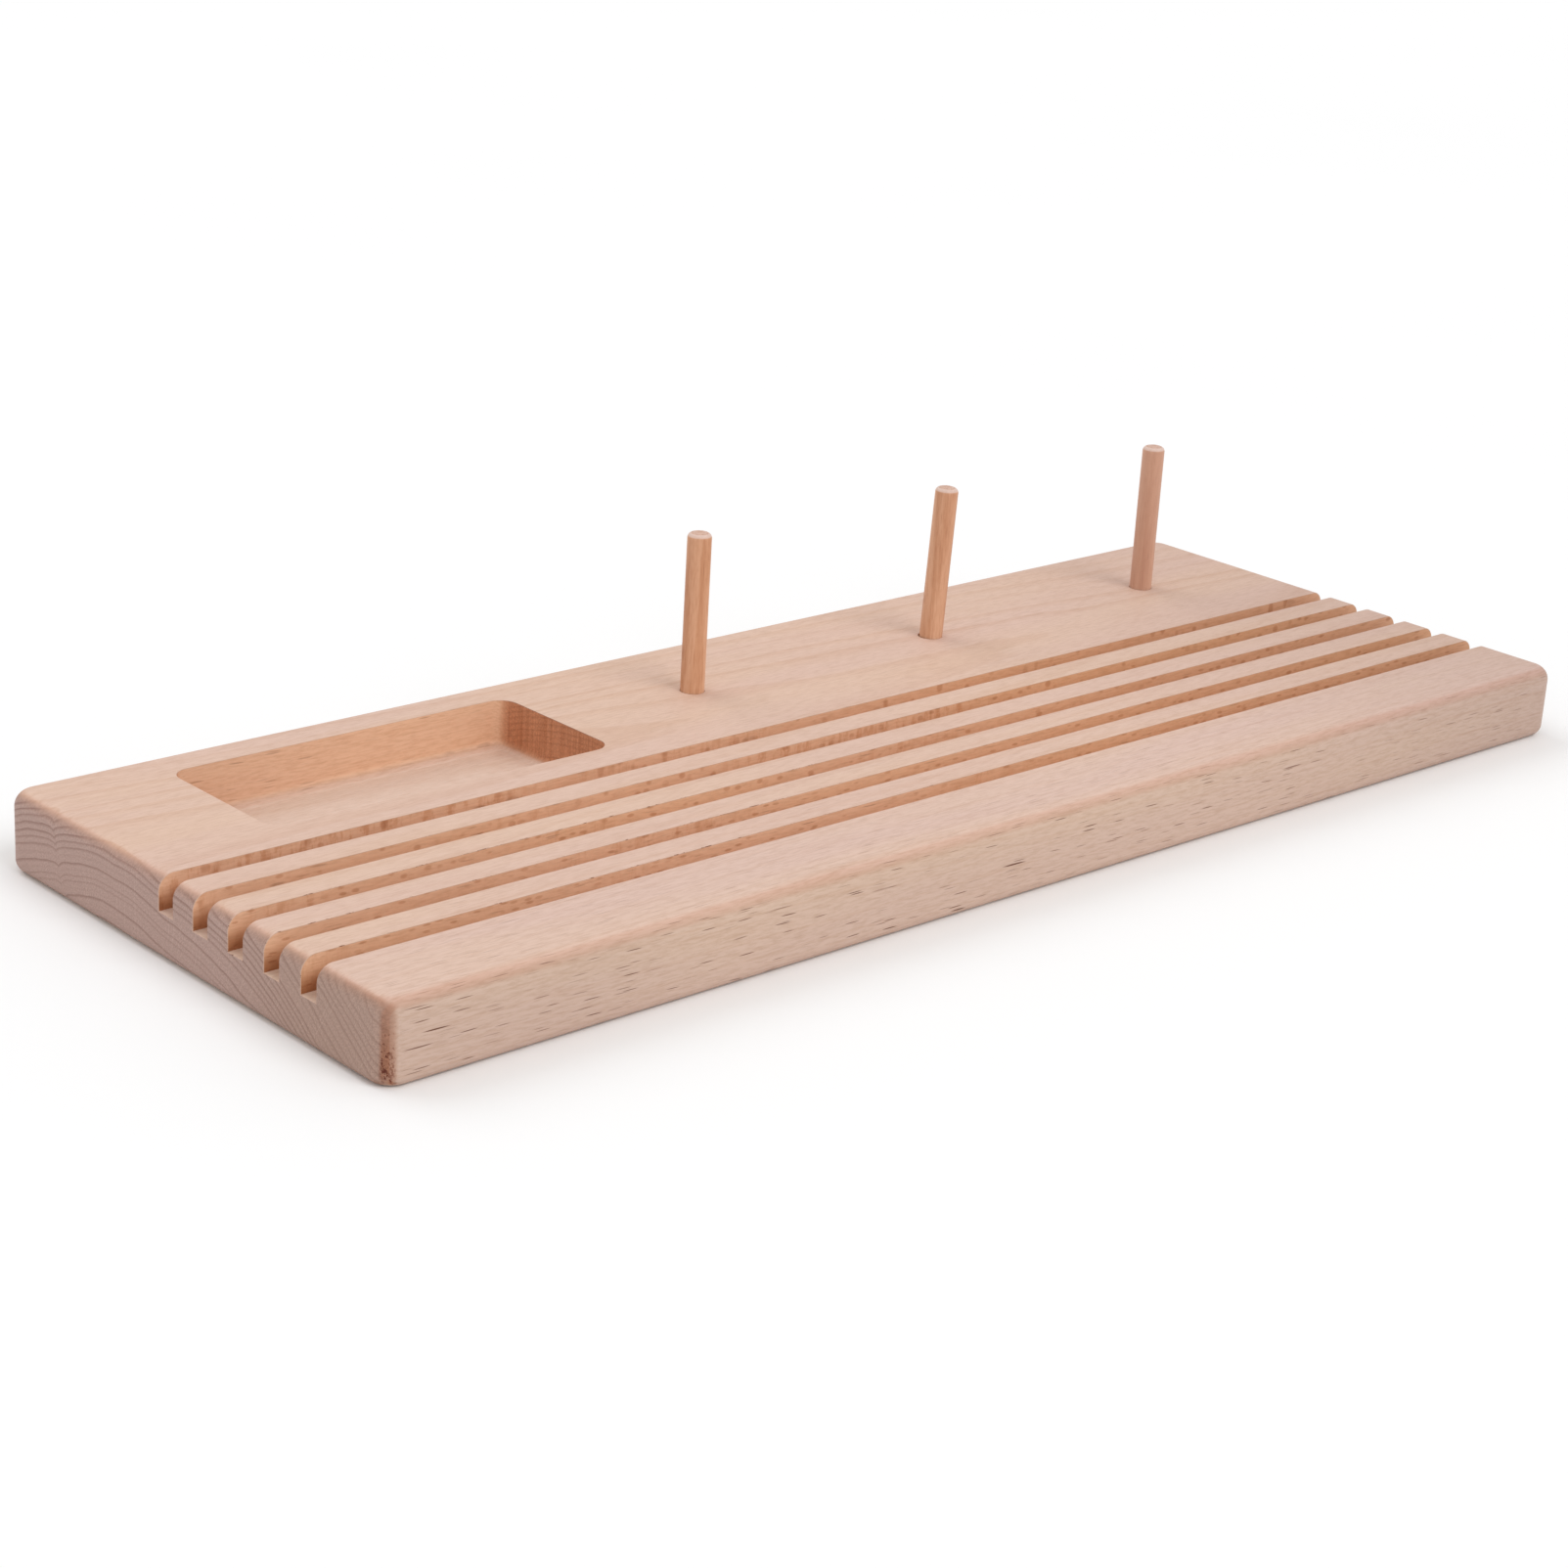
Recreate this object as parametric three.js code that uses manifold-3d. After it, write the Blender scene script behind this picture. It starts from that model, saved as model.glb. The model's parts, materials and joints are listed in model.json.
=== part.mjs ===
// Ruler rack with a notions tray and thread pegs, made of solid beech.
// One board carries five through grooves, a routed tray and three blind peg holes.
// Three dowel pegs stand loosely in the holes and lift out.
//
// Millimetres, +Z up. The origin is on the table, under the middle of the board.
// +X runs along the board, +Y towards its back edge, where the tray and the pegs are.

import * as THREE from 'three';
import { mergeVertices } from 'three/addons/utils/BufferGeometryUtils.js';
import Module from 'manifold-3d';

// Board
const BOARD_LENGTH = 400;
const BOARD_WIDTH = 150;
const BOARD_THICKNESS = 20;
const CORNER_RADIUS = 6; // of the four upright corners, seen from above
const TOP_ROUNDOVER = 4;
const BOTTOM_ROUNDOVER = 3;

// Grooves for rulers and templates, open at both ends of the board
const GROOVE_COUNT = 5;
const GROOVE_WIDTH = 5.7;
const GROOVE_DEPTH = 8.5;
const GROOVE_PITCH = 13.6;
const BACK_GROOVE_Y = 6.2;

// The tray and the pegs share one centre line behind the grooves
const REAR_ROW_Y = 41;

// Tray
const TRAY_LENGTH = 100;
const TRAY_WIDTH = 43.5;
const TRAY_DEPTH = 13;
const TRAY_CORNER_RADIUS = 5;
const TRAY_CENTRE_X = -113.5;

// Pegs and the blind holes they stand in
const PEG_DIAMETER = 6.35;
const PEG_STANDS_PROUD = 43;
const PEG_RIM_RADIUS = 1.3;
const PEG_CROWN_RISE = 0.4;
const PEG_FOOT_CHAMFER = 0.6;
const PEG_PITCH = 87;
const HOLE_DIAMETER = 7;
const HOLE_DEPTH = 12;
const HOLE_FLOOR_GAP = 0.3;

// The loose fit lets a peg lean in its hole. The middle one does.
const PEGS = [
  { name: 'thread_peg_left', x: -19, leanDeg: 0, headingDeg: 0 },
  { name: 'thread_peg_middle', x: -19 + PEG_PITCH, leanDeg: 2, headingDeg: -42 },
  { name: 'thread_peg_right', x: -19 + 2 * PEG_PITCH, leanDeg: 0, headingDeg: 0 },
];

// Facets
const CORNER_SEGMENTS = 8;
const ROUNDOVER_SEGMENTS = 6;
const ROUND_SEGMENTS = 40;
const RIM_SEGMENTS = 5;

const CUT_MARGIN = 5; // how far a cutter reaches past the face it opens

const wasm = await Module();
wasm.setup();

// A closed three.js geometry as a solid that can be cut
function toSolid(geometry) {
  const bare = geometry.clone();
  bare.deleteAttribute('normal');
  bare.deleteAttribute('uv');
  const merged = mergeVertices(bare, 1e-4);
  return new wasm.Manifold(
    new wasm.Mesh({
      numProp: 3,
      vertProperties: merged.attributes.position.array,
      triVerts: new Uint32Array(merged.index.array),
    }),
  );
}

// A solid as a three.js geometry, with flat facets
function toGeometry(solid) {
  const mesh = solid.getMesh();
  const indexed = new THREE.BufferGeometry();
  indexed.setAttribute('position', new THREE.BufferAttribute(mesh.vertProperties, 3));
  indexed.setIndex(new THREE.BufferAttribute(mesh.triVerts, 1));
  const geometry = indexed.toNonIndexed();
  geometry.computeVertexNormals();
  return geometry;
}

function roundedRectangle(length, width, radius) {
  const x = length / 2 - radius;
  const y = width / 2 - radius;
  const shape = new THREE.Shape();
  shape.absarc(x, y, radius, 0, Math.PI / 2);
  shape.absarc(-x, y, radius, Math.PI / 2, Math.PI);
  shape.absarc(-x, -y, radius, Math.PI, 1.5 * Math.PI);
  shape.absarc(x, -y, radius, 1.5 * Math.PI, 2 * Math.PI);
  shape.closePath();
  return shape;
}

// A slab with the board's outline and both rims rounded over, from z = 0 up to height
function roundedSlab(height, roundover) {
  const outline = roundedRectangle(BOARD_LENGTH, BOARD_WIDTH, CORNER_RADIUS);
  const slab = new THREE.ExtrudeGeometry(outline, {
    depth: height - 2 * roundover,
    curveSegments: CORNER_SEGMENTS,
    bevelThickness: roundover,
    bevelSize: roundover,
    bevelOffset: -roundover,
    bevelSegments: ROUNDOVER_SEGMENTS,
  });
  return slab.translate(0, 0, roundover);
}

// The rims differ, so the blank is what two taller slabs have in common
function boardBlank() {
  const tall = 2 * BOARD_THICKNESS;
  const roundedTop = roundedSlab(tall, TOP_ROUNDOVER).translate(0, 0, BOARD_THICKNESS - tall);
  const roundedBottom = roundedSlab(tall, BOTTOM_ROUNDOVER);
  return toSolid(roundedTop).intersect(toSolid(roundedBottom));
}

function grooveCutter(index) {
  const height = GROOVE_DEPTH + CUT_MARGIN;
  const cutter = new THREE.BoxGeometry(BOARD_LENGTH + 2 * CUT_MARGIN, GROOVE_WIDTH, height);
  const floor = BOARD_THICKNESS - GROOVE_DEPTH;
  return cutter.translate(0, BACK_GROOVE_Y - index * GROOVE_PITCH, floor + height / 2);
}

function trayCutter() {
  const outline = roundedRectangle(TRAY_LENGTH, TRAY_WIDTH, TRAY_CORNER_RADIUS);
  const cutter = new THREE.ExtrudeGeometry(outline, {
    depth: TRAY_DEPTH + CUT_MARGIN,
    curveSegments: CORNER_SEGMENTS,
    bevelEnabled: false,
  });
  return cutter.translate(TRAY_CENTRE_X, REAR_ROW_Y, BOARD_THICKNESS - TRAY_DEPTH);
}

function holeCutter(x) {
  const height = HOLE_DEPTH + CUT_MARGIN;
  const radius = HOLE_DIAMETER / 2;
  const cutter = new THREE.CylinderGeometry(radius, radius, height, ROUND_SEGMENTS);
  cutter.rotateX(Math.PI / 2);
  return cutter.translate(x, REAR_ROW_Y, BOARD_THICKNESS - HOLE_DEPTH + height / 2);
}

function makeBoard() {
  let solid = boardBlank();
  for (let index = 0; index < GROOVE_COUNT; index += 1) {
    solid = solid.subtract(toSolid(grooveCutter(index)));
  }
  solid = solid.subtract(toSolid(trayCutter()));
  for (const peg of PEGS) {
    solid = solid.subtract(toSolid(holeCutter(peg.x)));
  }
  const beech = new THREE.MeshStandardMaterial({ color: 0xdfbfa6, roughness: 0.65, metalness: 0 });
  const board = new THREE.Mesh(toGeometry(solid), beech);
  board.name = 'base_board';
  return board;
}

const PEG_IN_HOLE = HOLE_DEPTH - HOLE_FLOOR_GAP;
const PEG_LENGTH = PEG_IN_HOLE + PEG_STANDS_PROUD;

// A turned dowel with its foot at z = 0: chamfered foot, rounded rim and a slightly crowned top
function pegGeometry() {
  const radius = PEG_DIAMETER / 2;
  const rimHeight = PEG_LENGTH - PEG_CROWN_RISE - PEG_RIM_RADIUS;
  const profile = [
    new THREE.Vector2(0, 0),
    new THREE.Vector2(radius - PEG_FOOT_CHAMFER, 0),
    new THREE.Vector2(radius, PEG_FOOT_CHAMFER),
  ];
  for (let step = 0; step <= RIM_SEGMENTS; step += 1) {
    const angle = (step / RIM_SEGMENTS) * (Math.PI / 2);
    const across = radius - PEG_RIM_RADIUS * (1 - Math.cos(angle));
    profile.push(new THREE.Vector2(across, rimHeight + PEG_RIM_RADIUS * Math.sin(angle)));
  }
  profile.push(new THREE.Vector2(0, PEG_LENGTH));
  return new THREE.LatheGeometry(profile, ROUND_SEGMENTS).rotateX(Math.PI / 2);
}

// The peg leans about the middle of the length that is inside its hole
function makePeg({ name, x, leanDeg, headingDeg }) {
  const dowel = new THREE.MeshStandardMaterial({ color: 0xd2a07c, roughness: 0.6, metalness: 0 });
  const peg = new THREE.Mesh(toGeometry(toSolid(pegGeometry())), dowel);
  peg.name = name;
  peg.position.z = -PEG_IN_HOLE / 2;

  const pivot = new THREE.Group();
  pivot.add(peg);
  pivot.position.set(x, REAR_ROW_Y, BOARD_THICKNESS - PEG_IN_HOLE / 2);
  const heading = THREE.MathUtils.degToRad(headingDeg);
  const leanAxis = new THREE.Vector3(-Math.sin(heading), Math.cos(heading), 0);
  pivot.setRotationFromAxisAngle(leanAxis, THREE.MathUtils.degToRad(leanDeg));
  return pivot;
}

const rulerRack = new THREE.Group();
rulerRack.add(makeBoard());
for (const peg of PEGS) {
  rulerRack.add(makePeg(peg));
}

export default rulerRack;
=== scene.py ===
"""Looks for the beech ruler rack: one grooved board with a tray, and three loose dowel pegs.

Metres, in the CAD frame: +X along the board, +Y to its back edge, +Z up, origin on the table.
The materials work in mm. The wood is one solid texture of a log, and each piece is cut out of it,
so rings, rays and fibres run on from face to face: arcs on the ends, dashes on flat-sawn faces,
flecks on radial ones.
"""
import json
import math
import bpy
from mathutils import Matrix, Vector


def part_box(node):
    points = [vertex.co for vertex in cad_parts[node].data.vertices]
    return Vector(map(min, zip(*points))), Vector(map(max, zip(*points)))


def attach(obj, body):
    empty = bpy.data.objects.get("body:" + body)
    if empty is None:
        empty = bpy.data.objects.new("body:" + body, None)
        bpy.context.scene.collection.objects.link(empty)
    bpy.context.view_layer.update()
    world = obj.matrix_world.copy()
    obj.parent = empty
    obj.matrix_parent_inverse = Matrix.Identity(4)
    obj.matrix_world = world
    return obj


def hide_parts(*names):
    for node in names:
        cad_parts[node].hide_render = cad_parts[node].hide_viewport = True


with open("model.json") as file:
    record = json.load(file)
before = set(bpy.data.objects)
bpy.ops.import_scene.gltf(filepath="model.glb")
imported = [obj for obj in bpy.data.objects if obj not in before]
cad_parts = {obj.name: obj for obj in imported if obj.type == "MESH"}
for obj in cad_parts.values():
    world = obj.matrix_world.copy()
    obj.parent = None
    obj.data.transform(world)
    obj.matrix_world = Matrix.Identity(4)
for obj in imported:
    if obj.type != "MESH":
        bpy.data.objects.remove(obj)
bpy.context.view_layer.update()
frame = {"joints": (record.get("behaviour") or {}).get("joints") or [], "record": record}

from types import SimpleNamespace

import bmesh
import bpy
from mathutils import Matrix, Vector

MM = 0.001
MM_PER_METRE = 1000.0


# ---------------------------------------------------------------- camera and light

def make_camera():
    """A 75 mm view from the front left, a little above the board, rolled by a few degrees."""
    azimuth = math.radians(-43.396)
    elevation = math.radians(20.158)
    roll = math.radians(3.427)
    distance = 0.820
    target = Vector((-0.0275, -0.0048, 0.0100))

    back = Vector((
        math.sin(azimuth) * math.cos(elevation),
        -math.cos(azimuth) * math.cos(elevation),
        math.sin(elevation),
    ))
    data = bpy.data.cameras.new("camera")
    data.sensor_width = 36.0
    data.lens = 75.36
    data.clip_start = 0.01
    data.clip_end = 50.0
    camera = bpy.data.objects.new("camera", data)
    bpy.context.scene.collection.objects.link(camera)
    turn = back.to_track_quat("Z", "Y") @ Matrix.Rotation(roll, 3, "Z").to_quaternion()
    camera.matrix_world = Matrix.Translation(target + back * distance) @ turn.to_matrix().to_4x4()
    bpy.context.scene.camera = camera


def add_sun(name, position, strength, spread):
    """A distant light that shines from position at the middle of the board; spread in degrees."""
    data = bpy.data.lights.new(name, "SUN")
    data.energy = strength
    data.angle = math.radians(spread)
    sun = bpy.data.objects.new(name, data)
    bpy.context.scene.collection.objects.link(sun)
    sun.location = position
    sun.rotation_euler = Vector(position).to_track_quat("Z", "Y").to_euler()


def make_lights():
    """White studio: an even bright surround, a wide light in front and a weaker one behind."""
    scene = bpy.context.scene
    scene.view_settings.view_transform = "Standard"
    world = bpy.data.worlds.new("studio")
    scene.world = world
    world.use_nodes = True
    surround = world.node_tree.nodes["Background"]
    surround.inputs["Color"].default_value = (1.0, 1.0, 1.0, 1.0)
    surround.inputs["Strength"].default_value = 0.70
    add_sun("front_light", (0.12, -1.00, 1.00), strength=1.00, spread=38)
    add_sun("back_light", (-0.25, 1.00, 1.10), strength=0.60, spread=42)


# ---------------------------------------------------------------- node helpers

class Graph:
    """The node tree of one material, with a short call for each kind of node used here."""

    def __init__(self, name):
        self.material = bpy.data.materials.new(name)
        self.material.use_nodes = True
        self.tree = self.material.node_tree
        self.shader = self.tree.nodes["Principled BSDF"]

    def add(self, kind, inputs=(), **settings):
        node = self.tree.nodes.new(kind)
        for key, value in settings.items():
            setattr(node, key, value)
        for key, value in dict(inputs).items():
            self.feed(node.inputs[key], value)
        return node

    def feed(self, socket, value):
        if isinstance(value, bpy.types.NodeSocket):
            self.tree.links.new(value, socket)
        else:
            socket.default_value = value

    def math(self, operation, *values):
        return self.add("ShaderNodeMath", enumerate(values), operation=operation).outputs[0]

    def product(self, first, *others):
        for value in others:
            first = self.math("MULTIPLY", first, value)
        return first

    def span(self, share, start, end):
        """start where share is 0, end where it is 1."""
        return self.math("MULTIPLY_ADD", share, end - start, start)

    def smooth(self, value, low, high):
        """0 below low, 1 above high, smooth between; low above high turns it round."""
        inputs = {"Value": value, "From Min": low, "From Max": high}
        return self.add("ShaderNodeMapRange", inputs, interpolation_type="SMOOTHSTEP").outputs[0]

    def band(self, value, rise, fall):
        """1 between two edges of a value, 0 outside; each edge is a pair for smooth."""
        return self.product(self.smooth(value, *rise), self.smooth(value, *fall))

    def vector(self, operation, *values):
        node = self.add("ShaderNodeVectorMath", enumerate(values), operation=operation)
        return node.outputs["Value" if operation == "LENGTH" else "Vector"]

    def scale(self, vector, factor):
        inputs = {0: vector, "Scale": factor}
        return self.add("ShaderNodeVectorMath", inputs, operation="SCALE").outputs["Vector"]

    def split(self, vector):
        return self.add("ShaderNodeSeparateXYZ", {"Vector": vector}).outputs

    def join(self, x, y, z):
        return self.add("ShaderNodeCombineXYZ", {"X": x, "Y": y, "Z": z}).outputs[0]

    def face_mark(self, name):
        """A number that the mesh carries on its faces."""
        return self.add("ShaderNodeAttribute", attribute_name=name).outputs["Fac"]

    def noise(self, vector, per_unit, detail, roughness, seed):
        """Noise with its own frequency along X, Y and Z."""
        stretched = self.vector("MULTIPLY", vector, per_unit)
        place = self.vector("ADD", stretched, (seed, 1.7 * seed, 2.3 * seed))
        inputs = {"Vector": place, "Scale": 1.0, "Detail": detail, "Roughness": roughness}
        return self.add("ShaderNodeTexNoise", inputs).outputs["Fac"]

    def cells(self, vector):
        """Distance to the nearest cell point, and a random number for that cell."""
        node = self.add("ShaderNodeTexVoronoi", {"Vector": vector, "Scale": 1.0}, feature="F1")
        return node.outputs["Distance"], self.split(node.outputs["Color"])[0]

    def mix(self, share, first, second, mode="MIX"):
        node = self.add("ShaderNodeMix", data_type="RGBA", blend_type=mode)
        self.feed(node.inputs[0], share)
        self.feed(node.inputs[6], first)
        self.feed(node.inputs[7], second)
        return node.outputs[2]

    def bump(self, height, distance, strength):
        inputs = {"Height": height, "Distance": distance, "Strength": strength}
        return self.add("ShaderNodeBump", inputs).outputs[0]


class Paint:
    """A colour that is built up in layers, each as far as its share says."""

    def __init__(self, graph, colour):
        self.graph = graph
        self.colour = colour

    def tint(self, share, tint):
        """Multiplies what is there by a tint."""
        self.colour = self.graph.mix(share, self.colour, (*tint, 1.0), "MULTIPLY")

    def cover(self, share, colour):
        self.colour = self.graph.mix(share, self.colour, colour)


def rgb(red, green, blue):
    """A linear colour from the 0 to 255 values of a display colour."""
    def linear(value):
        share = value / 255
        return share / 12.92 if share <= 0.04045 else ((share + 0.055) / 1.055) ** 2.4
    return (linear(red), linear(green), linear(blue), 1.0)


# ---------------------------------------------------------------- beech, as a solid log

# Lengths in mm
RING_WIDTH = 1.65
RING_SWAY = 3.5         # of the rings over long stretches of the trunk
RING_RIPPLE = 0.45      # and over short ones
UNEVEN_OVER = 6.0       # how far in the radius it takes for the ring width to change
TYPICAL_RADIUS = 125.0  # where the pieces are cut from the log
RAY_SWAY = 1.1
BROAD_RAY_AT = 164.5    # around the trunk
DIP_DEPTH = 1.2         # of the rings at the broad ray
DIP_REACH = 1.4

RING_UNEVENNESS = 1.2   # in rings

# Frequencies per mm: along the trunk, and across it
LONG_WAVE = (1 / 240, 1 / 40, 1 / 40)
SHORT_WAVE = (1 / 45, 1 / 7, 1 / 7)
TONE_WAVE = (1 / 150, 1 / 20, 1 / 20)

# Frequencies per mm: along the trunk, around it and along the radius
STREAK_WAVE = (1 / 40, 1 / 2.4, 1 / 3.0)
FIBRE_WAVE = (1 / 4, 1 / 0.40, 1 / 0.6)


def ring_dip(g, x, around, centre):
    """1 at a broad ray, where every ring dips towards the pith; it is there only at the left end."""
    away = g.math("ABSOLUTE", g.math("SUBTRACT", around, centre))
    dip = g.math("EXPONENT", g.math("DIVIDE", away, -DIP_REACH))
    return g.product(dip, g.smooth(x, -120.0, -190.0))


def late_wood(g, radius, seed):
    """Growth rings of uneven width: pale early wood that darkens to a thin late line."""
    along_radius = g.join(g.math("DIVIDE", radius, UNEVEN_OVER), 0.0, 0.0)
    uneven = g.noise(along_radius, (1.0, 1.0, 1.0), 1.0, 0.5, seed + 11)
    count = g.math("DIVIDE", radius, RING_WIDTH)
    count = g.math("ADD", count, g.product(uneven, RING_UNEVENNESS))
    phase = g.math("FRACT", count)
    year = g.add("ShaderNodeTexWhiteNoise", {"W": g.math("FLOOR", count)}, noise_dimensions="1D")
    line = g.band(phase, (0.45, 0.90), (1.0, 0.93))
    return g.product(line, g.smooth(year.outputs["Value"], -0.2, 1.0))


def rays(g, along_log, seed, size, scarcity, reach):
    """Thin plates of a size along the trunk, around it and along the radius, scattered at random.

    More of them are missing or faint the higher the scarcity; reach is how much of its cell one fills.
    """
    cell = g.vector("DIVIDE", along_log, size)
    shift = (seed + scarcity, seed * 1.3, seed * 0.7)
    distance, chance = g.cells(g.vector("ADD", cell, shift))
    body = g.smooth(distance, reach, reach * 0.5)
    return g.product(body, g.smooth(chance, scarcity, 1.0))


def log_pattern(g, place, seed=0.0, dip_at=None):
    """The log's own marks at a place in mm: X along the trunk, the pith on the X axis."""
    sway = g.span(g.noise(place, LONG_WAVE, 1.0, 0.5, seed), -RING_SWAY, RING_SWAY)
    ripple = g.span(g.noise(place, SHORT_WAVE, 1.0, 0.5, seed + 3), -RING_RIPPLE, RING_RIPPLE)
    x, y, z = g.split(place)
    from_pith = g.vector("LENGTH", g.vector("MULTIPLY", place, (0.0, 1.0, 1.0)))
    radius = g.math("ADD", from_pith, g.math("ADD", sway, ripple))
    around = g.product(g.math("ARCTAN2", z, y), TYPICAL_RADIUS)
    if dip_at is not None:
        radius = g.math("MULTIPLY_ADD", ring_dip(g, x, around, dip_at), DIP_DEPTH, radius)
    bend = g.product(g.noise(place, SHORT_WAVE, 1.0, 0.5, seed + 5), RAY_SWAY)
    along_log = g.join(x, g.math("ADD", around, bend), radius)
    return SimpleNamespace(
        late=late_wood(g, radius, seed),
        fibre=g.noise(along_log, FIBRE_WAVE, 3.0, 0.65, seed + 7),
        streak=g.noise(along_log, STREAK_WAVE, 2.0, 0.5, seed + 17),
        small_rays=rays(g, along_log, seed, size=(11.0, 0.32, 26.0), scarcity=0.10, reach=0.26),
        large_rays=rays(g, along_log, seed, size=(34.0, 0.90, 40.0), scarcity=0.45, reach=0.14),
        flecks=rays(g, along_log, seed, size=(3.4, 0.44, 24.0), scarcity=0.10, reach=0.42),
        tone=g.noise(place, TONE_WAVE, 2.0, 0.5, seed + 13),
    )


def finish_wood(g, colour, marks, pores, roughness):
    """Colour, roughness and the relief that the marks leave on a sanded surface."""
    g.feed(g.shader.inputs["Base Color"], colour)
    spread = 0.12
    rough = g.span(marks.fibre, roughness - spread, roughness + spread)
    g.feed(g.shader.inputs["Roughness"], rough)
    g.shader.inputs["Specular IOR Level"].default_value = 0.30
    relief = g.math("SUBTRACT", marks.fibre, g.product(marks.large_rays, 1.2))
    relief = g.math("SUBTRACT", relief, g.product(marks.small_rays, 0.3))
    relief = g.math("ADD", relief, g.product(pores, 0.6))
    g.feed(g.shader.inputs["Normal"], g.bump(relief, distance=0.04 * MM, strength=0.7))
    return g.material


# ---------------------------------------------------------------- the board's material

PITH = (0.0, 21.0, -105.0)  # mm, from the board's origin
GRAIN_RUN_OUT = (0.0, math.radians(-0.7), math.radians(0.4))

# Tints multiply the colour under them. First the long grain.
SANDED_WARM = rgb(223, 191, 171)
SANDED_COOL = rgb(221, 189, 173)
STREAK_TINT = (0.93, 0.88, 0.83)
LATE_TINT = (0.92, 0.86, 0.80)
FIBRE_TINT = (0.88, 0.84, 0.80)
# painted shade: the light falling off towards the right end and the back
FAR_END_PAINTED_SHADE_TINT = (0.84, 0.84, 0.86)
# the round-over: partly burnished wood, partly painted shade of the slope
ROUNDED_RIM_BURNISH_AND_SHADE_TINT = (0.94, 0.85, 0.81)
# upright faces: partly their rift-sawn grain, partly painted shade on the sides
SIDE_GRAIN_AND_SHADE_TINT = (0.86, 0.86, 0.82)
FRONT_STRIP_TINT = (0.99, 1.01, 1.05)
LEFT_SIDE_TINT = (0.95, 0.95, 0.96)
SMALL_RAY_TINT = (0.30, 0.21, 0.17)
LARGE_RAY_TINT = (0.26, 0.15, 0.11)

# Walls and floors that a cutter has made
# a deeper burnished orange, and partly painted light lifting the walls of the grooves and tray
ROUTED_WALL_TONE_AND_LIGHT_TINT = (1.30, 1.17, 1.02)
GROOVE_TONE_AND_LIGHT_TINT = (1.03, 1.00, 0.97)
# painted shade: the light falling off towards the right end in the grooves
GROOVE_RIGHT_PAINTED_SHADE_TINT = (0.95, 0.88, 0.80)
GROOVE_BAR_TINT = (0.83, 0.71, 0.62)
FLECK_TINT = (0.66, 0.50, 0.40)
# painted shade down towards the foot of each groove
GROOVE_FOOT_PAINTED_SHADE_TINT = (0.70, 0.57, 0.47)
SCORCHED_TINT = (0.74, 0.62, 0.52)
# paler routed floors, partly lifted by painted light in the recesses
ROUTED_FLOOR_TONE_AND_LIGHT_TINT = (1.06, 1.15, 1.17)

# End grain
END_DARK = rgb(165, 137, 127)
END_PALE = rgb(191, 159, 148)
END_RING_TINT = (0.67, 0.59, 0.56)
END_RAY = rgb(222, 198, 184)
END_FRONT_TINT = (0.93, 0.92, 0.86)
CHATTER_TINT = (0.84, 0.78, 0.72)
# routed end grain: more orange, and partly lifted by painted light in the tray
ROUTED_END_TONE_AND_LIGHT_TINT = (1.34, 0.95, 0.62)
ROLLED_RIM_TINT = (0.95, 0.90, 0.86)

# Damage, and a painted highlight on the arrises
# a pale sanded edge with a painted highlight on it
ARRIS_FUZZ_AND_HIGHLIGHT = rgb(226, 196, 176)
TORN_TINT = (0.36, 0.22, 0.16)
STAIN_TINT = (0.76, 0.50, 0.36)
SPECK_TINT = (0.34, 0.13, 0.07)


def board_places(g):
    """Where a point of the board is, in mm, and which way its surface faces."""
    where = g.add("ShaderNodeTexCoord")
    mm = g.scale(where.outputs["Object"], MM_PER_METRE)
    x, y, z = g.split(mm)
    normal = g.split(where.outputs["Normal"])
    routed = g.face_mark("routed")
    to_end = g.math("ABSOLUTE", normal[0])
    to_side = g.math("ABSOLUTE", normal[1])
    slant = g.math("MULTIPLY_ADD", to_side, 0.075, g.math("MULTIPLY_ADD", routed, -0.14, to_end))
    return SimpleNamespace(
        mm=mm, x=x, y=y, z=z,
        up=normal[2], to_end=to_end, to_side=to_side,
        upright=g.smooth(normal[2], 0.95, 0.45),
        slant=slant,  # to_end, with a little more on the corners and less where a cutter went
        end=g.smooth(slant, 0.40, 0.86),
        routed=routed,
        arris=g.face_mark("arris"),
    )


def board_in_log(g, mm):
    """The pith lies under the board, a little behind its middle, and the grain runs out slightly."""
    turned_mm = g.add("ShaderNodeVectorRotate", {"Vector": mm}, rotation_type="EULER_XYZ")
    turned_mm.inputs["Rotation"].default_value = GRAIN_RUN_OUT
    return g.vector("SUBTRACT", turned_mm.outputs[0], PITH)


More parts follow.
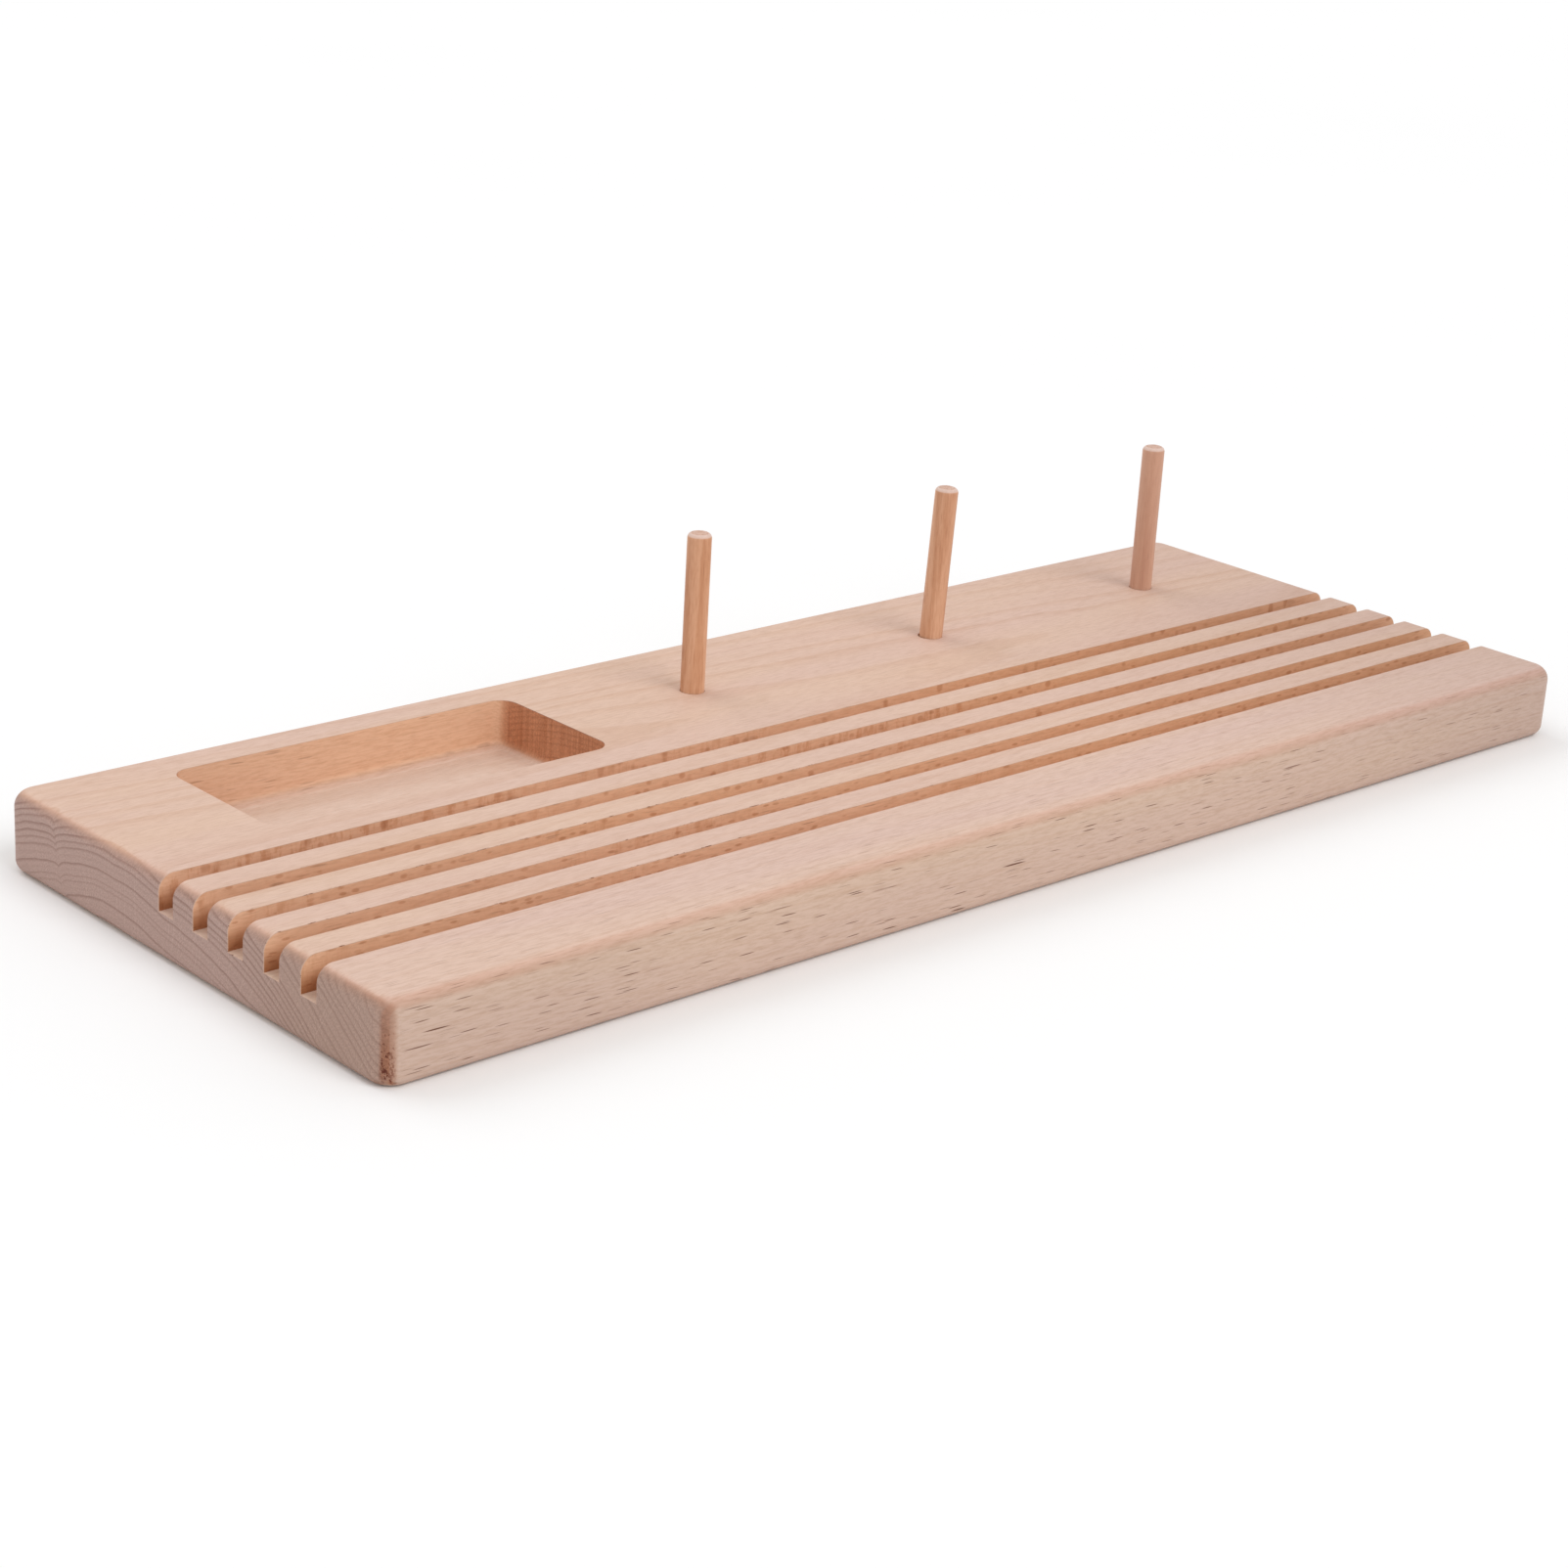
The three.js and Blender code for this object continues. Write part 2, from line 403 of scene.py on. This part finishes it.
def long_grain(g, at, marks):
    """Sanded wood. Its marks are plainest at the front and left, and fade to the back and right."""
    plain = g.span(g.smooth(at.y, -35.0, -70.0), 0.30, 0.80)
    plain = g.product(plain, g.span(g.smooth(at.x, 190.0, -60.0), 0.5, 1.0))
    plain = g.product(plain, g.span(at.upright, 0.55, 1.30), g.smooth(at.to_end, 0.5, 0.1))
    plain_late = g.span(g.smooth(at.y, 0.0, 30.0), 0.45, 0.73)
    plain_late = g.product(plain_late, g.span(at.routed, 1.0, 0.4))
    plain_large = g.product(plain, g.span(at.routed, 1.0, 0.2))
    # painted shade where the light falls off towards the right end and the back
    far = g.product(g.smooth(at.x, 40.0, 230.0), g.span(g.smooth(at.y, 0.0, 50.0), 1.0, 0.6))
    # darker and warmer on the round-over: partly burnished wood, partly painted shade of the slope
    rounded = g.band(at.up, (0.30, 0.62), (0.99, 0.85))

    paint = Paint(g, g.mix(g.smooth(marks.tone, 0.34, 0.66), SANDED_WARM, SANDED_COOL))
    paint.tint(g.product(g.smooth(marks.streak, 0.50, 0.80), 0.4), STREAK_TINT)
    paint.tint(g.product(marks.late, plain_late), LATE_TINT)
    paint.tint(g.smooth(marks.fibre, 0.62, 0.30), FIBRE_TINT)
    paint.tint(far, FAR_END_PAINTED_SHADE_TINT)
    paint.tint(rounded, ROUNDED_RIM_BURNISH_AND_SHADE_TINT)
    # upright faces darker: partly their rift-sawn grain, partly painted shade on the sides
    paint.tint(at.upright, SIDE_GRAIN_AND_SHADE_TINT)
    paint.tint(g.smooth(at.y, -45.0, -60.0), FRONT_STRIP_TINT)
    paint.tint(g.product(at.upright, g.smooth(at.x, -100.0, -150.0)), LEFT_SIDE_TINT)
    paint.tint(g.product(marks.small_rays, plain), SMALL_RAY_TINT)
    paint.tint(g.product(marks.large_rays, plain_large), LARGE_RAY_TINT)
    return paint


def groove_bars(g, at):
    """Short dark bars where the cutter has chattered: in patches, and along two of the grooves."""
    patches = g.smooth(g.noise(at.mm, (0.016, 0.06, 0.0), 1.0, 0.5, 47), 0.50, 0.60)
    patches = g.product(patches, g.smooth(at.x, 70.0, -30.0), 0.6)
    back_groove = g.product(g.smooth(at.y, 1.0, 4.0), g.smooth(at.x, -80.0, -120.0))
    next_groove = g.band(at.y, (-12.0, -9.0), (1.0, -2.0))
    next_groove = g.product(next_groove, g.smooth(g.math("ABSOLUTE", at.x), 60.0, 30.0))
    barred = g.math("MAXIMUM", patches, g.math("MAXIMUM", back_groove, next_groove))
    bar = g.noise(at.mm, (0.42, 0.10, 0.12), 4.0, 0.72, 41)
    return g.product(g.smooth(bar, 0.46, 0.64), barred)


def paint_routed(g, at, marks, paint):
    """Routed walls: burnished by the cutter to a deeper orange and partly lifted by painted light, with
    the rays as darker flecks. Painted shade darkens the grooves towards the right and down towards their
    foot, and the routed floors are paler and partly lifted by painted light.
    """
    wall = g.product(at.routed, g.smooth(at.up, 0.85, 0.15))
    in_groove = g.product(wall, g.smooth(at.y, 22.0, 14.0))
    fleck = g.product(marks.flecks, g.span(in_groove, 0.12, 0.67))
    scorched = g.product(g.smooth(at.x, -172.0, -196.0), g.smooth(at.z, 18.0, 12.0))
    floor = g.math("SUBTRACT", at.routed, wall)

    # burnished orange, and partly painted light lifting the walls in the grooves and tray
    paint.tint(wall, ROUTED_WALL_TONE_AND_LIGHT_TINT)
    paint.tint(in_groove, GROOVE_TONE_AND_LIGHT_TINT)
    # painted shade where the light falls off towards the right end
    paint.tint(g.product(in_groove, g.smooth(at.x, -60.0, 120.0)), GROOVE_RIGHT_PAINTED_SHADE_TINT)
    paint.tint(g.product(groove_bars(g, at), in_groove), GROOVE_BAR_TINT)
    paint.tint(g.product(fleck, wall), FLECK_TINT)
    # painted shade, darker down towards each groove's foot
    paint.tint(g.product(in_groove, g.smooth(at.z, 18.5, 11.5)), GROOVE_FOOT_PAINTED_SHADE_TINT)
    paint.tint(g.product(in_groove, scorched), SCORCHED_TINT)
    # paler routed floors, partly lifted by painted light in the recesses
    paint.tint(floor, ROUTED_FLOOR_TONE_AND_LIGHT_TINT)


def end_grain(g, at, marks, pores):
    """Darker and greyer than long grain, with plain rings and thin pale rays."""
    plain_rings = g.span(at.routed, 0.95, 0.50)
    plain_rings = g.product(plain_rings, g.span(g.smooth(at.y, -30.0, -70.0), 1.0, 0.65))
    plain_rings = g.product(plain_rings, g.smooth(at.slant, 0.45, 0.95))
    chatter = g.noise(at.mm, (0.9, 1.6, 0.04), 2.0, 0.7, 43)

    paint = Paint(g, g.mix(g.smooth(pores, 0.32, 0.70), END_DARK, END_PALE))
    paint.tint(g.product(marks.late, plain_rings), END_RING_TINT)
    paint.cover(g.product(marks.small_rays, 0.22), END_RAY)
    paint.tint(g.smooth(at.y, -10.0, -55.0), END_FRONT_TINT)
    paint.tint(g.product(at.routed, g.smooth(chatter, 0.42, 0.65)), CHATTER_TINT)
    # more orange, and partly lifted by painted light in the tray
    paint.tint(at.routed, ROUTED_END_TONE_AND_LIGHT_TINT)
    return paint.colour


def paint_arrises(g, at, paint):
    """Broken arrises are paler from sanding and carry a painted highlight, and here and there the cutter
    has torn a fibre out.
    """
    tear = g.smooth(g.noise(at.mm, (0.30, 1.0, 1.0), 4.0, 0.7, 51), 0.57, 0.64)
    tear = g.product(tear, g.smooth(at.y, 8.0, -25.0), g.smooth(at.x, 60.0, -90.0))
    # pale sanded arrises with a painted highlight
    paint.cover(g.product(at.arris, 0.30), ARRIS_FUZZ_AND_HIGHLIGHT)
    paint.tint(g.product(at.arris, tear), TORN_TINT)


def paint_corners(g, at, paint):
    """Where the ends turn the corner the wood is torn and scorched, most at the front left."""
    rim = g.product(at.end, 4.0, g.math("SUBTRACT", 1.0, at.end))
    corner = g.product(g.band(at.to_side, (0.46, 0.62), (0.84, 0.76)), g.smooth(at.to_end, 0.2, 0.5))
    turning = g.math("MAXIMUM", g.product(rim, 0.6), corner)
    front_left = g.product(g.smooth(at.x, -180.0, -190.0), g.smooth(at.y, -38.0, -70.0))
    worn = g.product(turning, g.span(front_left, 0.1, 1.0))
    depth = g.smooth(at.z, 19.0, 3.0)

    patch = g.noise(at.mm, (0.20, 0.20, 0.15), 2.0, 0.5, 33)
    stain = g.product(worn, g.smooth(patch, 0.26, 0.54), g.span(depth, 0.55, 1.0))
    paint.tint(stain, STAIN_TINT)

    speckle = g.noise(at.mm, (1.3, 1.3, 1.0), 3.0, 0.75, 31)
    threshold = g.span(depth, 0.66, 0.50)
    specks = g.smooth(g.math("SUBTRACT", speckle, threshold), 0.0, 0.07)
    paint.tint(g.product(worn, specks), SPECK_TINT)


def board_material():
    g = Graph("beech_board")
    at = board_places(g)
    marks = log_pattern(g, board_in_log(g, at.mm), dip_at=BROAD_RAY_AT)
    pores = g.noise(at.mm, (0.4, 2.4, 2.4), 3.0, 0.7, 21)

    paint = long_grain(g, at, marks)
    paint_routed(g, at, marks, paint)
    paint.cover(at.end, end_grain(g, at, marks, pores))
    paint.tint(g.band(at.slant, (0.40, 0.65), (0.97, 0.80)), ROLLED_RIM_TINT)
    paint_arrises(g, at, paint)
    paint_corners(g, at, paint)
    return finish_wood(g, paint.colour, marks, g.product(pores, at.end), roughness=0.60)


# ---------------------------------------------------------------- the pegs' and the floor's materials

DOWEL_PALE = rgb(226, 178, 144)
DOWEL_DARK = rgb(214, 162, 128)
# greyer and darker: partly the wood's tone, partly painted shade of the light falling off to the right
DOWEL_PALE_AND_SHADED = rgb(198, 160, 146)
DOWEL_LATE_TINT = (0.86, 0.77, 0.69)
DOWEL_STREAK_TINT = (0.84, 0.75, 0.68)
DOWEL_FIBRE_TINT = (0.88, 0.82, 0.78)
DOWEL_SMALL_RAY_TINT = (0.60, 0.46, 0.38)
DOWEL_LARGE_RAY_TINT = (0.36, 0.22, 0.16)
DOWEL_END = rgb(214, 180, 164)
DOWEL_PORE_TINT = (0.74, 0.64, 0.58)
# painted highlight on the rounded rim of each peg's crown
DOWEL_RIM_HIGHLIGHT = rgb(232, 210, 200)
DOWEL_ASIDE = 40.0  # mm, how far to one side of the pith the pegs are cut

FLOOR_WHITES = ((0.94, 0.94, 0.94, 1.0), (0.96, 0.96, 0.96, 1.0))


def dowel_material(name, centre, seed, paled_and_shaded):
    """Turned beech with its fibres along the peg, and rings that cross it nearly flat."""
    g = Graph(name)
    where = g.add("ShaderNodeTexCoord")
    mm = g.scale(g.vector("SUBTRACT", where.outputs["Object"], tuple(centre)), MM_PER_METRE)
    x, y, z = g.split(mm)
    place = g.vector("ADD", g.join(z, x, y), (0.0, DOWEL_ASIDE + seed, TYPICAL_RADIUS))
    marks = log_pattern(g, place, seed)

    paint = Paint(g, g.mix(g.smooth(marks.tone, 0.34, 0.66), DOWEL_PALE, DOWEL_DARK))
    paint.tint(g.product(marks.late, 0.6), DOWEL_LATE_TINT)
    paint.tint(g.smooth(marks.streak, 0.45, 0.70), DOWEL_STREAK_TINT)
    paint.tint(g.smooth(marks.fibre, 0.60, 0.28), DOWEL_FIBRE_TINT)
    paint.tint(g.product(marks.small_rays, 0.55), DOWEL_SMALL_RAY_TINT)
    paint.tint(g.product(marks.large_rays, 0.75), DOWEL_LARGE_RAY_TINT)
    # greyer and darker: partly the wood's tone, partly painted shade of the light falling off to the
    # right
    paint.cover(paled_and_shaded, DOWEL_PALE_AND_SHADED)

    up = g.split(where.outputs["Normal"])[2]
    top = g.smooth(up, 0.30, 0.80)
    rim = g.band(up, (0.20, 0.50), (0.985, 0.90))
    pores = g.noise(mm, (2.4, 2.4, 0.4), 3.0, 0.7, 21)
    paint.cover(g.product(top, 0.75), DOWEL_END)
    paint.tint(g.product(top, g.smooth(pores, 0.55, 0.35)), DOWEL_PORE_TINT)
    # painted highlight: a pale ring on the rounded rim of the crown
    paint.cover(g.product(rim, 0.55), DOWEL_RIM_HIGHLIGHT)
    return finish_wood(g, paint.colour, marks, g.product(pores, top), roughness=0.52)


def floor_material():
    g = Graph("studio_floor")
    where = g.add("ShaderNodeTexCoord")
    cloud = g.noise(where.outputs["Object"], (3.0, 3.0, 3.0), 3.0, 0.5, 2)
    g.feed(g.shader.inputs["Base Color"], g.mix(cloud, *FLOOR_WHITES))
    g.shader.inputs["Roughness"].default_value = 0.9
    g.shader.inputs["Specular IOR Level"].default_value = 0.1
    return g.material


# ---------------------------------------------------------------- mesh helpers

def stack(name, rings):
    """A closed mesh through rings of equal point count, from the lowest to the highest."""
    mesh = bpy.data.meshes.new(name)
    bm = bmesh.new()
    rows = [[bm.verts.new(point) for point in ring] for ring in rings]
    count = len(rows[0])
    for low, high in zip(rows, rows[1:]):
        for i in range(count):
            j = (i + 1) % count
            bm.faces.new((low[i], low[j], high[j], high[i]))
    bm.faces.new(list(reversed(rows[0])))
    bm.faces.new(rows[-1])
    bm.to_mesh(mesh)
    bm.free()
    made = bpy.data.objects.new(name, mesh)
    bpy.context.scene.collection.objects.link(made)
    return made


def rounded_ring(half_x, half_y, radius, inset, centre, z, segments):
    """A rounded rectangle pulled in by inset all round."""
    turn = radius - inset
    points = []
    for quarter, (sx, sy) in enumerate(((1, 1), (-1, 1), (-1, -1), (1, -1))):
        cx = centre[0] + sx * (half_x - radius)
        cy = centre[1] + sy * (half_y - radius)
        for step in range(segments + 1):
            angle = (quarter + step / segments) * math.pi / 2
            points.append((cx + turn * math.cos(angle), cy + turn * math.sin(angle), z))
    return points


def quarter_levels(radius, segments, start, upwards):
    """(height, inset) pairs round a rim, from the flat face at start to the upright side."""
    levels = []
    for step in range(segments + 1):
        angle = step / segments * math.pi / 2
        rise = radius * (1 - math.cos(angle))
        inset = radius * (1 - math.sin(angle))
        levels.append((start + rise if upwards else start - rise, inset))
    return levels


def rounded_block(name, low, high, corner, bottom_round=0, top_round=0, segments=20):
    """A block with rounded upright corners and rounded rims, between two opposite corners."""
    centre = ((low[0] + high[0]) / 2, (low[1] + high[1]) / 2)
    half_x = (high[0] - low[0]) / 2
    half_y = (high[1] - low[1]) / 2
    rim_segments = 12
    levels = [(low[2], 0.0)]
    if bottom_round:
        levels = quarter_levels(bottom_round, rim_segments, low[2], upwards=True)
    upper = [(high[2], 0.0)]
    if top_round:
        upper = quarter_levels(top_round, rim_segments, high[2], upwards=False)
    levels += reversed(upper)
    return stack(name, [
        rounded_ring(half_x, half_y, corner, inset, centre, z, segments) for z, inset in levels
    ])


def turned(name, profile, segments=72):
    """A round piece about its own Z axis through (radius, height) pairs."""
    rings = []
    for radius, z in profile:
        ring = []
        for step in range(segments):
            angle = step / segments * 2 * math.pi
            ring.append((radius * math.cos(angle), radius * math.sin(angle), z))
        rings.append(ring)
    return stack(name, rings)


def cut(target, cutters):
    """Takes the cutters out of the target, and then out of the scene."""
    for cutter in cutters:
        step = target.modifiers.new("cut", "BOOLEAN")
        step.operation = "DIFFERENCE"
        step.solver = "EXACT"
        step.object = cutter
    bpy.context.view_layer.update()
    graph = bpy.context.evaluated_depsgraph_get()
    target.data = bpy.data.meshes.new_from_object(target.evaluated_get(graph))
    target.modifiers.clear()
    for cutter in cutters:
        bpy.data.objects.remove(cutter)


# ---------------------------------------------------------------- board

CORNER_RADIUS = 6 * MM
TOP_ROUNDOVER = 4 * MM
BOTTOM_ROUNDOVER = 3 * MM
GROOVE_WIDTH = 5.7 * MM
TRAY_LENGTH = 100 * MM
TRAY_WIDTH = 43.5 * MM
TRAY_CORNER = 5 * MM
TRAY_FLOOR_ROUND = 2.6 * MM
HOLE_RADIUS = 3.3 * MM
LEANING_HOLE_RADIUS = 3.4 * MM
HOLE_DEPTH = 12 * MM
ARRIS = 0.16 * MM  # what is broken off each sharp edge

# Mounts give the middle of each groove's floor and of the tray's, whose centre line the pegs share
MOUNTS = {mount["name"]: mount["pos_m"] for mount in frame["record"]["mounts"]}
GROOVE_FLOORS = [place for name, place in MOUNTS.items() if name.startswith("groove_floor")]
TRAY_X, REAR_ROW_Y, TRAY_FLOOR_Z = MOUNTS["tray_floor"]

PAST = 5 * MM          # how far a cutter reaches past the face it opens
CUTTER_EDGE = 0.1 * MM
SKIN = 0.05 * MM       # what is closer than this lies on the same face
WELD = 0.002 * MM      # what is closer than this is one point
HOLE_REACH = 1.02      # what is nearer to a hole's middle, in hole radii, is the hole's own edge
UPRIGHT_LIMIT = 0.02   # of a normal's Z on an upright face
LEVEL_LIMIT = 0.999    # and on a level one
SHARP_FOLD = math.radians(60)
SMOOTH_FOLD = math.radians(32)

PEG_NODES = ("thread_peg_left", "thread_peg_middle", "thread_peg_right")
LEANING_PEG = "thread_peg_middle"


def peg_centre(node):
    low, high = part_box(node)
    return (low + high) / 2


def tray_cutter(top):
    low = (TRAY_X - TRAY_LENGTH / 2, REAR_ROW_Y - TRAY_WIDTH / 2, TRAY_FLOOR_Z)
    high = (TRAY_X + TRAY_LENGTH / 2, REAR_ROW_Y + TRAY_WIDTH / 2, top + PAST)
    return rounded_block("tray_cutter", low, high, TRAY_CORNER, bottom_round=TRAY_FLOOR_ROUND)


def in_tray_outline(at):
    return (abs(at.x - TRAY_X) < TRAY_LENGTH / 2 + SKIN
            and abs(at.y - REAR_ROW_Y) < TRAY_WIDTH / 2 + SKIN)


def groove_cutters(low, high):
    cutters = []
    for index, (_, y, floor_z) in enumerate(GROOVE_FLOORS):
        bottom = (low.x - PAST, y - GROOVE_WIDTH / 2, floor_z)
        above = (high.x + PAST, y + GROOVE_WIDTH / 2, high.z + PAST)
        cutters.append(rounded_block(f"groove_cutter_{index}", bottom, above, CUTTER_EDGE, segments=1))
    return cutters


def hole_cutter(node, top):
    radius = LEANING_HOLE_RADIUS if node == LEANING_PEG else HOLE_RADIUS
    profile = [(radius, top - HOLE_DEPTH), (radius, top + PAST)]
    cutter = turned(f"hole_cutter_{node}", profile)
    cutter.location = (peg_hole_x(node), REAR_ROW_Y, 0.0)
    return cutter


def peg_hole_x(node):
    """The pegs stand at an even pitch, which the two upright ones give."""
    first = peg_centre(PEG_NODES[0]).x
    last = peg_centre(PEG_NODES[-1]).x
    return first + PEG_NODES.index(node) * (last - first) / 2


def ease_arrises(mesh, low, high):
    """Marks the faces that the cutters made, and breaks each sharp outside edge but the holes'."""
    bm = bmesh.new()
    bm.from_mesh(mesh)
    bmesh.ops.remove_doubles(bm, verts=bm.verts, dist=WELD)
    bmesh.ops.dissolve_degenerate(bm, dist=WELD, edges=bm.edges)
    routed = bm.faces.layers.float.new("routed")
    arris = bm.faces.layers.float.new("arris")
    at_hole = bm.edges.layers.int.new("at_hole")
    holes_x = [peg_hole_x(node) for node in PEG_NODES]
    for edge in bm.edges:
        middle = (edge.verts[0].co + edge.verts[1].co) / 2
        reach = min(math.hypot(middle.x - x, middle.y - REAR_ROW_Y) for x in holes_x)
        edge[at_hole] = int(reach < LEANING_HOLE_RADIUS * HOLE_REACH)
    for face in bm.faces:
        at = face.calc_center_median()
        within = low.x + SKIN < at.x < high.x - SKIN and low.y + SKIN < at.y < high.y - SKIN
        upright = abs(face.normal.z) < UPRIGHT_LIMIT
        floor = face.normal.z > LEVEL_LIMIT and at.z < high.z - SKIN
        outside_corner = abs(at.x) > high.x - CORNER_RADIUS and abs(at.y) > high.y - CORNER_RADIUS
        in_tray = in_tray_outline(at) and low.z + SKIN < at.z < high.z - SKIN
        made_by_cutter = within and (upright or floor) and not outside_corner
        face[routed] = 1.0 if made_by_cutter or in_tray else 0.0

    def is_sharp(edge):
        folded = len(edge.link_faces) == 2 and edge.is_convex
        return folded and edge.calc_face_angle(0) > SHARP_FOLD and not edge[at_hole]

    made = bmesh.ops.bevel(
        bm, geom=[edge for edge in bm.edges if is_sharp(edge)], offset=ARRIS,
        offset_type="OFFSET", segments=2, profile=0.5, affect="EDGES", clamp_overlap=True,
    )
    for face in made["faces"]:
        face[arris] = 1.0
        face[routed] = 0.0
    bm.to_mesh(mesh)
    bm.free()


def make_board():
    low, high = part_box("base_board")
    board = rounded_block("board", low, high, CORNER_RADIUS, BOTTOM_ROUNDOVER, TOP_ROUNDOVER)
    holes = [hole_cutter(node, high.z) for node in PEG_NODES]
    cut(board, groove_cutters(low, high) + [tray_cutter(high.z)] + holes)
    ease_arrises(board.data, low, high)
    board.data.shade_smooth()
    board.data.set_sharp_from_angle(angle=SMOOTH_FOLD)
    even = board.modifiers.new("even_shading", "WEIGHTED_NORMAL")
    even.keep_sharp = True
    board.data.materials.clear()
    board.data.materials.append(board_material())
    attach(board, "board")
    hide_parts("base_board")


# ---------------------------------------------------------------- pegs

PEG_RADIUS = 3.175 * MM
RIM_RADIUS = 1.3 * MM
CROWN_RISE = 0.4 * MM
FOOT_CHAMFER = 0.6 * MM
FLAT_RADIUS = 0.02 * MM  # the small flat where each end closes
RIM_STEPS = 10
CROWN_STEPS = 6

# For each peg, from left to right: a number that picks its wood, and how far it turns greyer and darker;
# for the right one the darkening is partly painted shade of the light falling off to the right
PEG_LOOKS = ((2.0, 0.0), (9.0, 0.05), (17.0, 0.45))


def peg_profile(length):
    """(radius, height) from the foot to the crown, about the middle of the length."""
    foot = -length / 2
    rim_height = length / 2 - CROWN_RISE - RIM_RADIUS
    profile = [(FLAT_RADIUS, foot), (PEG_RADIUS - FOOT_CHAMFER, foot), (PEG_RADIUS, foot + FOOT_CHAMFER)]
    for step in range(RIM_STEPS + 1):
        angle = step / RIM_STEPS * math.pi / 2
        across = PEG_RADIUS - RIM_RADIUS * (1 - math.cos(angle))
        profile.append((across, rim_height + RIM_RADIUS * math.sin(angle)))
    crown_radius = PEG_RADIUS - RIM_RADIUS
    for step in range(1, CROWN_STEPS):
        share = step / CROWN_STEPS
        rise = CROWN_RISE * (1 - (1 - share) ** 2)
        profile.append((crown_radius * (1 - share), rim_height + RIM_RADIUS + rise))
    profile.append((FLAT_RADIUS, length / 2))
    return profile


def make_pegs():
    """Each peg stands along the axis that it lifts on; an upright one gives the length of all."""
    low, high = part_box(PEG_NODES[0])
    length = high.z - low.z
    lifts = {joint["child"]: Vector(joint["axis"]).normalized() for joint in frame["joints"]}
    for node, (seed, paled_and_shaded) in zip(PEG_NODES, PEG_LOOKS):
        body = node.replace("thread_", "")
        peg = turned(f"turned_{body}", peg_profile(length))
        turn = Vector((0, 0, 1)).rotation_difference(lifts[body]).to_matrix().to_4x4()
        centre = peg_centre(node)
        peg.data.transform(Matrix.Translation(centre) @ turn)
        peg.data.shade_smooth()
        peg.data.set_sharp_from_angle(angle=SMOOTH_FOLD)
        peg.data.materials.append(dowel_material(f"dowel_{body}", centre, seed, paled_and_shaded))
        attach(peg, body)
        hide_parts(node)


# ---------------------------------------------------------------- floor

FLOOR_HALF = 6.0
FLOOR_GAP = 0.05 * MM  # under the board, so that the two faces don't coincide


def make_floor():
    half = FLOOR_HALF
    mesh = bpy.data.meshes.new("floor")
    corners = [(-half, -half, 0.0), (half, -half, 0.0), (half, half, 0.0), (-half, half, 0.0)]
    mesh.from_pydata(corners, [], [(0, 1, 2, 3)])
    floor = bpy.data.objects.new("floor", mesh)
    bpy.context.scene.collection.objects.link(floor)
    floor.location.z = -FLOOR_GAP
    mesh.materials.append(floor_material())


make_camera()
make_lights()
make_board()
make_pegs()
make_floor()
